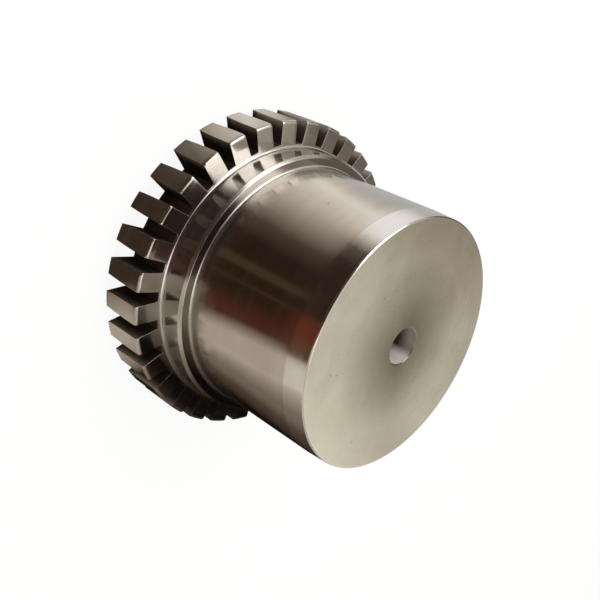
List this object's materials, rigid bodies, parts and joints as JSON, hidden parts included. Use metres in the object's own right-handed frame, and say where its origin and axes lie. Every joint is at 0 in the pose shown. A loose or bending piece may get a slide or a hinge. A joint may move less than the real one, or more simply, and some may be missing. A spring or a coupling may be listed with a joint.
{
  "type": "grid coupling hub",
  "caption": "Steel hub of a taper grid coupling: turned barrel with a rough pilot bore, polished land and a slotted, toothed inner end for the grid spring.",
  "frame": {"origin": "centre of the toothed inner end face, on the hub's axis", "axes": "+Z along the hub's axis from the toothed inner end to the plain outer end; +X and +Y each point through the middle of a slot"},
  "size_m": [0.114, 0.114, 0.0762],
  "materials": {
    "coupling_hub": "turned"
  },
  "bodies": {
    "root": {"coupling_hub": "coupling_hub"}
  },
  "joints": []
}
